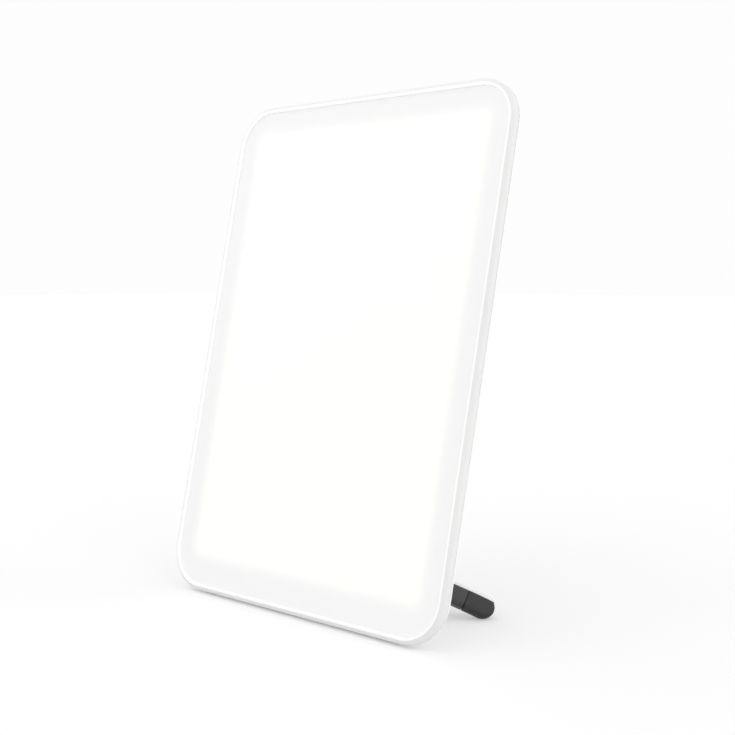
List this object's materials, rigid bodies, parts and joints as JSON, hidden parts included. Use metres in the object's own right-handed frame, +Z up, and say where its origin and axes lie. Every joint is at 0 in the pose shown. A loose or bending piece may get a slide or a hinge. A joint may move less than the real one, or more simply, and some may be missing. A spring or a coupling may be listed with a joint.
{
  "type": "light therapy lamp",
  "caption": "Slim tablet-shaped light therapy lamp: an edge-lit white panel leaning back on a dark crescent foot that folds flat on a friction hinge.",
  "frame": {"origin": "on the floor, in the middle of the lamp's width and depth", "axes": "+Z up, +Y from the lit face to the back, +X to the lamp's right as its user sees it"},
  "size_m": [0.2264, 0.0864, 0.3214],
  "materials": {
    "shell_white": "smooth satin moulding",
    "cover_white": "fine matt moulding",
    "diffuser_opal": "opal, satin, lit from behind",
    "film_clear": "clear film",
    "guide_acrylic": "clear polished acrylic",
    "reflector_white": "matt white film",
    "board_white": "white solder mask",
    "led_yellow": "phosphor gel",
    "aluminium": "plain rolled",
    "steel": "zinc plated",
    "board_green": "green solder mask",
    "black_plastic": "matt moulding",
    "button_grey": "satin moulding",
    "lead_red": "soft sleeve",
    "stand_grey": "satin dark grey moulding",
    "rubber_dark": "soft matt rubber"
  },
  "bodies": {
    "housing": {"front_frame": "shell_white", "diffuser": "diffuser_opal", "optical_film": "film_clear", "light_guide": "guide_acrylic", "reflector_sheet": "reflector_white", "led_board_left": "board_white", "led_board_right": "board_white", "led_chips_left": "led_yellow", "led_chips_right": "led_yellow", "chassis_plate": "aluminium", "back_cover": "cover_white", "case_screws": "steel", "driver_board": "board_green", "board_screws": "steel", "driver_components": "black_plastic", "tact_switch": "black_plastic", "dc_jack": "black_plastic", "jack_nut": "steel", "inner_leads": "lead_red", "base_feet": "rubber_dark", "hinge_bracket_left": "shell_white", "hinge_bracket_right": "shell_white", "bracket_screws": "steel", "hinge_pin": "steel", "friction_washers": "steel", "pin_clips": "steel"},
    "stand": {"stand_body": "stand_grey", "stand_cap": "shell_white", "stand_tip_left": "rubber_dark", "stand_tip_right": "rubber_dark"},
    "button": {"power_button": "button_grey"}
  },
  "joints": [
    {"name": "stand_fold", "type": "hinge", "parent": "housing", "child": "stand", "pos_m": [0, -0.00801, 0.04288], "axis": [1, 0, 0], "range_deg": [0, 114]},
    {"name": "button_press", "type": "slide", "parent": "housing", "child": "button", "axis": [0, -0.9736, 0.2284], "range_m": [0, 0.001], "stiffness_N_per_m": 400, "springref_m": -0.001}
  ]
}
